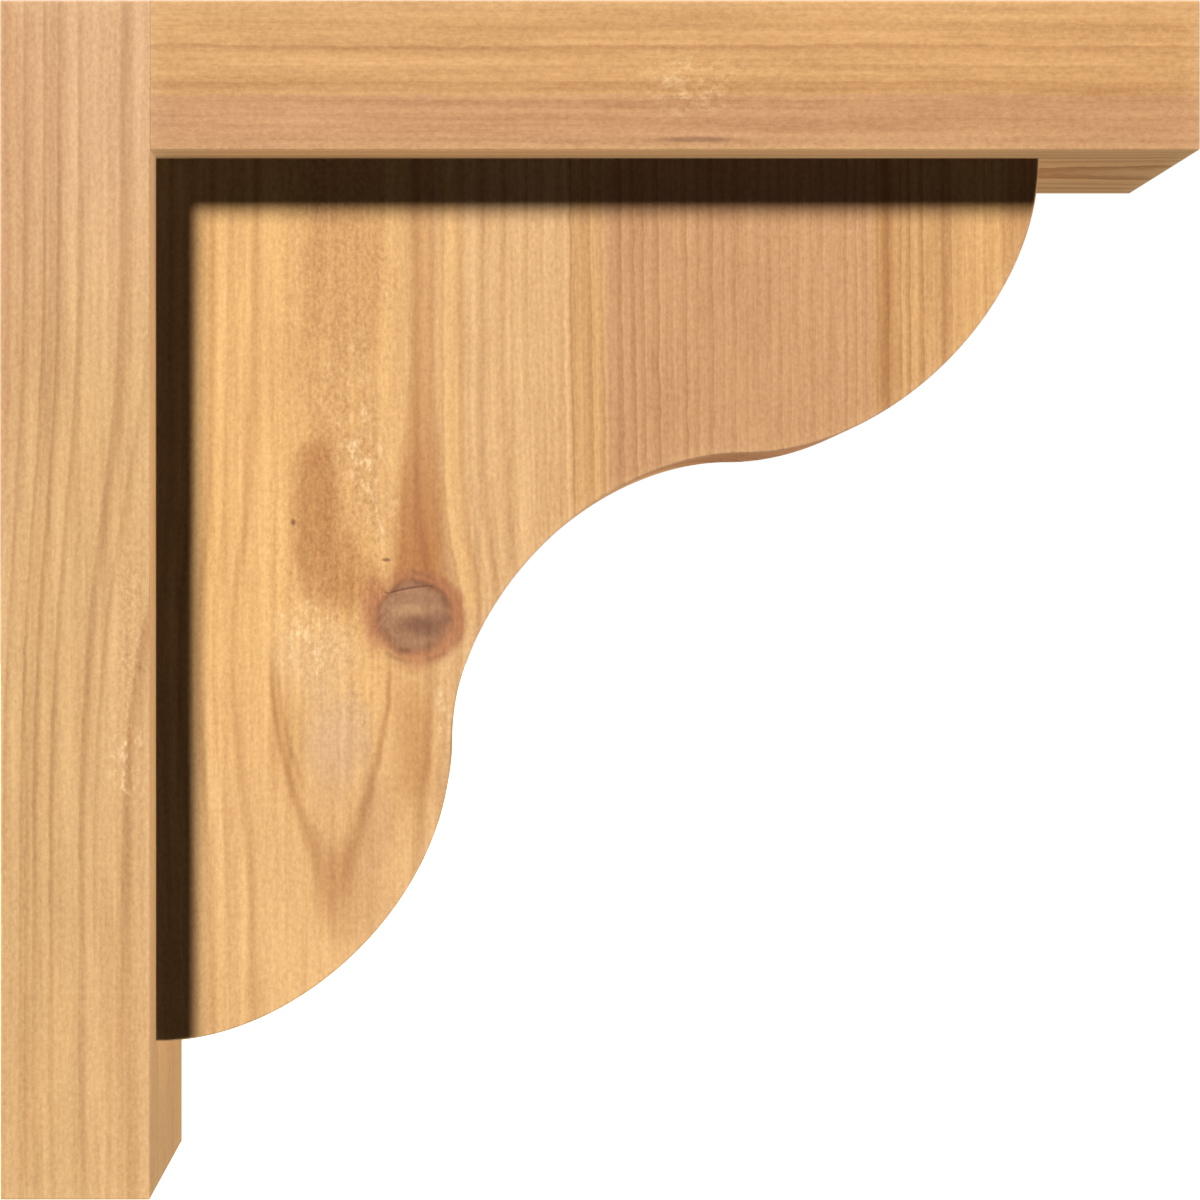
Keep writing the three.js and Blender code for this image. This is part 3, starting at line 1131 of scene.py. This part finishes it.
def cap_relief(places, knot, sizes, has_check, border):
    """How far each point of a flat side is sunk: by slow dips, a dip round the knot, and the check."""
    flat = np.clip((nearest_gap(places, border[::6]) - sizes.arris) / (6 * MM), 0, 1)
    depth = dips(np.insert(places, 1, 0, axis=1), 9.4) * sizes.uneven * flat
    if has_check:
        reach = np.linalg.norm(places - np.array([knot.out, knot.up]), axis=1) / knot.radius
        inside, taper = check_share(places, knot)
        depth = depth + KNOT_DIP * np.exp(-(((reach - 1.05) / 0.22) ** 2)) * flat
        depth = depth + knot.check_depth * inside * taper
    return depth


def check_shade_mask(points, knot, near):
    """How dark the check is at each point of the brace."""
    inside, _ = check_share(points[:, [0, 2]], knot)
    return np.where(points[:, 1] - near < 2 * MM, np.clip(inside * 1.8, 0, 1), 0)


class CORBEL_OT_studio(Operator):
    """Build the studio: a pale floor well below the bracket, soft lights, and the camera"""

    bl_idname = "corbel.studio"
    bl_label = "Studio"

    def execute(self, context):
        scene = context.scene
        scene.view_settings.view_transform = "Standard"
        add_floor(scene)
        add_sky(scene)
        for name, toward, strength, spread in LAMPS:
            add_lamp(scene, name, toward, strength, spread)
        add_camera(scene)
        return {"FINISHED"}


# Each lamp's name, the direction towards it, its strength, and how many degrees wide it looks
LAMPS = (
    ("key", (-0.7, -1.0, 0.895), 5.05, 12.0),
    ("low_fill", (0.74, 0.0, -0.67), 3.4, 4.0),
    ("back_fill", (-0.2, 1.0, 0.6), 3.4, 20.0),
)
LAMP_GAP = 3.0  # metres, for looks alone: a distant lamp's light is the same at any place
FLOOR_DROP = 0.45  # from the bracket's foot to the floor, in metres
FLOOR_SIZE = 30.0
FLOOR_SIDES = 96
WARM = (1.0, 0.985, 0.94)
WHITE = (1.0, 1.0, 1.0)
SHADOW_TINT = (1.0, 0.85, 0.7)


def add_floor(scene):
    """A wide round floor, which fades to the backdrop's white with distance."""
    up = CAD_BOX[0].z - FLOOR_DROP
    turns = [math.tau * step / FLOOR_SIDES for step in range(FLOOR_SIDES)]
    rim = [(FLOOR_SIZE * math.cos(turn), FLOOR_SIZE * math.sin(turn), up) for turn in turns]
    mesh = bpy.data.meshes.new("floor")
    mesh.from_pydata(rim, [], [list(range(FLOOR_SIDES))])
    material = bpy.data.materials.new("pale_floor")
    material.use_nodes = True
    tree = material.node_tree
    shader = tree.nodes["Principled BSDF"]
    shader.inputs["Base Color"].default_value = (*srgb(236, 236, 234), 1)
    shader.inputs["Roughness"].default_value = 0.9
    shader.inputs["Specular IOR Level"].default_value = 0.0
    x, y, _ = Wire(tree, tree.nodes.new("ShaderNodeTexCoord").outputs["Object"]).parts()
    away = (x.squared() + y.squared()).math("SQRT").ramp(0.6, 3.0)
    feed(tree, shader.inputs["Emission Color"], joined(away, away, away))
    shader.inputs["Emission Strength"].default_value = 0.5
    mesh.materials.append(material)
    floor = bpy.data.objects.new("floor", mesh)
    scene.collection.objects.link(floor)
    floor.visible_diffuse = False
    floor.visible_glossy = False
    floor.visible_shadow = False


def add_sky(scene):
    """A white backdrop for the camera, and a dim even light for the object."""
    world = bpy.data.worlds.new("backdrop")
    world.use_nodes = True
    tree = world.node_tree
    tree.nodes.clear()
    path = tree.nodes.new("ShaderNodeLightPath")
    seen = Wire(tree, path.outputs["Is Camera Ray"])
    shader = tree.nodes.new("ShaderNodeBackground")
    feed(tree, shader.inputs["Color"], blended(seen, (*SHADOW_TINT, 1), (*WHITE, 1)))
    feed(tree, shader.inputs["Strength"], seen * 0.965 + 0.035)
    leave = tree.nodes.new("ShaderNodeOutputWorld")
    tree.links.new(shader.outputs["Background"], leave.inputs["Surface"])
    scene.world = world


def add_lamp(scene, name, toward, strength, spread):
    """A soft, distant lamp in a direction from the bracket."""
    lamp = bpy.data.lights.new(name, "SUN")
    lamp.energy = strength
    lamp.angle = math.radians(spread)
    lamp.color = WARM
    holder = bpy.data.objects.new(name, lamp)
    holder.rotation_mode = "QUATERNION"
    holder.rotation_quaternion = Vector(toward).to_track_quat("Z", "Y")
    holder.location = Vector(toward) * LAMP_GAP
    scene.collection.objects.link(holder)


SENSOR = 36.0  # millimetres
CAMERA_GAP = 0.827  # from the lens to the near face of the legs
CAMERA_OUT = 0.1219  # the lens stands this far out from the wall, level with the bracket's middle


def add_camera(scene):
    """The camera looks level and square at the bracket's side, framed from corner to corner."""
    low, high = CAD_BOX
    lens = bpy.data.cameras.new("camera")
    wide = high.x - low.x
    lens.sensor_width = SENSOR
    lens.lens = SENSOR * CAMERA_GAP / wide
    lens.shift_x = ((low.x + high.x) / 2 - CAMERA_OUT) / wide
    lens.clip_start = 0.01
    lens.clip_end = 200
    camera = bpy.data.objects.new("camera", lens)
    camera.location = (CAMERA_OUT, low.y - CAMERA_GAP, (low.z + high.z) / 2)
    camera.rotation_euler = (math.radians(90), 0, 0)
    scene.collection.objects.link(camera)
    scene.camera = camera


PIECES = (CORBEL_OT_wall_leg, CORBEL_OT_top_leg, CORBEL_OT_brace, CORBEL_OT_studio)


class CORBEL_PT_bracket(Panel):
    """The bracket's pieces and sizes"""

    bl_idname = "CORBEL_PT_bracket"
    bl_label = "Corbel Bracket"
    bl_space_type = "VIEW_3D"
    bl_region_type = "UI"
    bl_category = "Corbel"

    def draw(self, context):
        layout = self.layout
        for piece in PIECES:
            layout.operator(piece.bl_idname)
        for name in SETTINGS:
            settings = getattr(context.scene, name)
            box = layout.box()
            box.label(text=settings.__doc__ or name)
            for label in type(settings).__annotations__:
                box.prop(settings, label)


SETTINGS = {
    "corbel_sizes": BoardSizes,
    "corbel_knot": KnotSizes,
    "corbel_colours": CedarColours,
    "corbel_wall_leg_grain": WallLegGrain,
    "corbel_top_leg_grain": TopLegGrain,
    "corbel_brace_grain": BraceGrain,
}
CLASSES = (*SETTINGS.values(), *PIECES, CORBEL_PT_bracket)


def register():
    for kind in CLASSES:
        bpy.utils.register_class(kind)
    for name, kind in SETTINGS.items():
        setattr(bpy.types.Scene, name, PointerProperty(type=kind))


def unregister():
    for name in SETTINGS:
        delattr(bpy.types.Scene, name)
    for kind in reversed(CLASSES):
        bpy.utils.unregister_class(kind)


def main():
    """Builds every piece and the studio, and writes how the finished size compares with the packed one."""
    register()
    bpy.ops.corbel.wall_leg()
    bpy.ops.corbel.top_leg()
    bpy.ops.corbel.brace()
    bpy.ops.corbel.studio()


if __name__ == "__main__":
    main()
